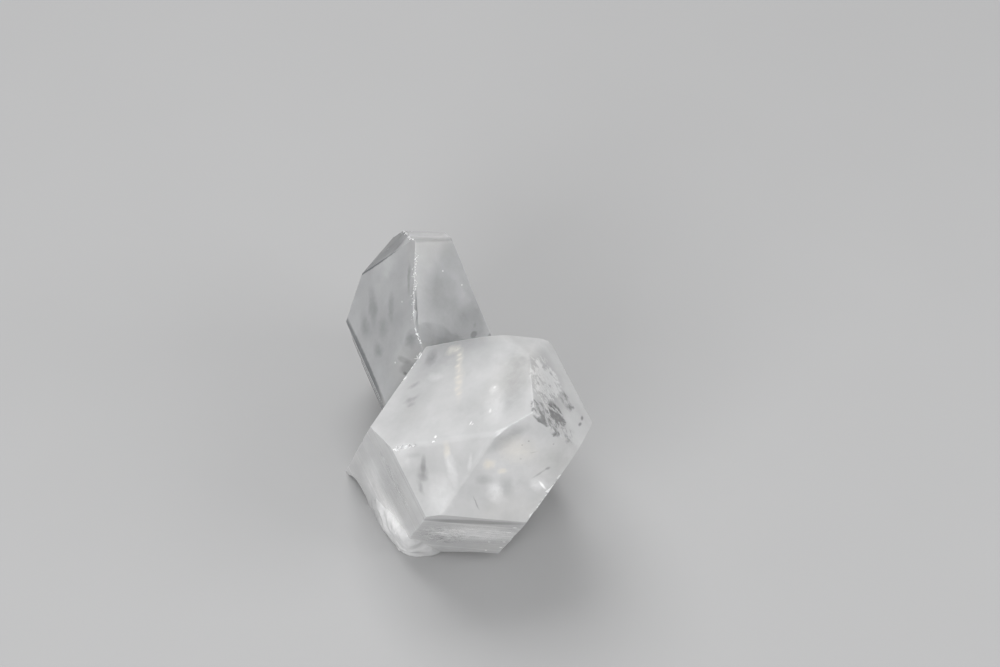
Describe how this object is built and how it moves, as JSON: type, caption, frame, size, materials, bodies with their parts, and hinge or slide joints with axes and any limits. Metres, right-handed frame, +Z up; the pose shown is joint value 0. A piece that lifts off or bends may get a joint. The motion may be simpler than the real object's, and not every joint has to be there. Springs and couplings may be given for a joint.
{
  "type": "clear quartz cluster",
  "caption": "Stout pointed quartz crystals, milky to clear, grown together on a broken root that stands on a flat break.",
  "frame": {"origin": "centre of the box around the cluster, at the height of the surface that it stands on", "axes": "+Z up, +Y from the front crystal towards the back crystal, +X to the right seen from the front"},
  "size_m": [0.064, 0.092, 0.0683],
  "materials": {
    "quartz": "clear rock crystal clouded by milky veils, glassy faces, finely stepped sides, white splintered edges"
  },
  "bodies": {
    "root": {"quartz_cluster": "quartz"}
  },
  "joints": []
}
